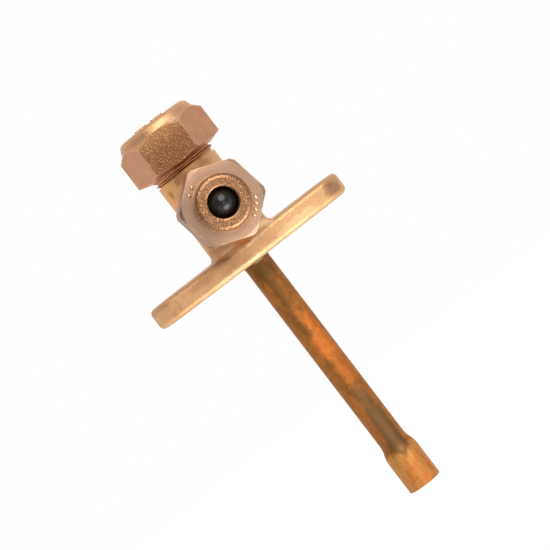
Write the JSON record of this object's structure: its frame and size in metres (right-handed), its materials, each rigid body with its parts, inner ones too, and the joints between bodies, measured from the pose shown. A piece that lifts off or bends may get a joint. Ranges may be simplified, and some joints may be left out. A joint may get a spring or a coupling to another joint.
{
  "type": "refrigerant service valve",
  "caption": "Two-way brass service valve: hexagonal stem cap, flare port with nut and dust plug, two-hole flange and a brazed copper tube with a belled end.",
  "frame": {"origin": "where the stem axis meets the flange's mounting face, midway between the two screw holes", "axes": "+Z along the stem axis towards the cap, -Y out of the flare port, X along the flange through both screw holes"},
  "size_m": [0.051, 0.0367, 0.0998],
  "materials": {
    "forged_brass": "forged, lightly oxidised",
    "turned_brass": "turned",
    "cap_brass": "forged crown, machined flats",
    "nut_brass": "forged nose, machined flats",
    "copper": "drawn, heat-stained",
    "braze_alloy": "cooled filler metal",
    "spring_steel": "phosphated",
    "seal_rubber": "moulded",
    "gasket_plastic": "white, punched from sheet",
    "plug_plastic": "black, glossy"
  },
  "bodies": {
    "valve": {"valve_body": "forged_brass", "outlet_tube": "copper", "braze_ring": "braze_alloy", "retaining_ring": "spring_steel"},
    "stem_seal": {"stem_o_ring": "seal_rubber"},
    "stem": {"valve_stem": "turned_brass"},
    "gasket": {"cap_gasket": "gasket_plastic"},
    "cap": {"stem_cap": "cap_brass"},
    "plug": {"port_plug": "plug_plastic"},
    "nut": {"flare_nut": "nut_brass"}
  },
  "joints": [
    {"name": "stem_rise", "type": "slide", "parent": "valve", "child": "stem_seal", "axis": [0, 0, 1], "range_m": [0, 0.004]},
    {"name": "stem_turn", "type": "hinge", "parent": "stem_seal", "child": "stem", "pos_m": [0, 0, 0], "axis": [0, 0, 1], "range_deg": [0, 1441]},
    {"name": "cap_lift", "type": "slide", "parent": "valve", "child": "gasket", "axis": [0, 0, 1], "range_m": [0, 0.006]},
    {"name": "cap_turn", "type": "hinge", "parent": "gasket", "child": "cap", "pos_m": [0, 0, 0], "axis": [0, 0, 1], "range_deg": [0, 2161]},
    {"name": "plug_draw", "type": "slide", "parent": "valve", "child": "plug", "axis": [0, -1, 0], "range_m": [0, 0.00762]},
    {"name": "nut_turn", "type": "hinge", "parent": "plug", "child": "nut", "pos_m": [0, 0, 0.0146], "axis": [0, -1, 0], "range_deg": [0, 2161]}
  ],
  "couplings": [
    {"joint": "stem_turn", "follows": "stem_rise", "rad_per_m": 6283.2},
    {"joint": "cap_turn", "follows": "cap_lift", "rad_per_m": 6283.2},
    {"joint": "nut_turn", "follows": "plug_draw", "rad_per_m": 4947.4}
  ]
}
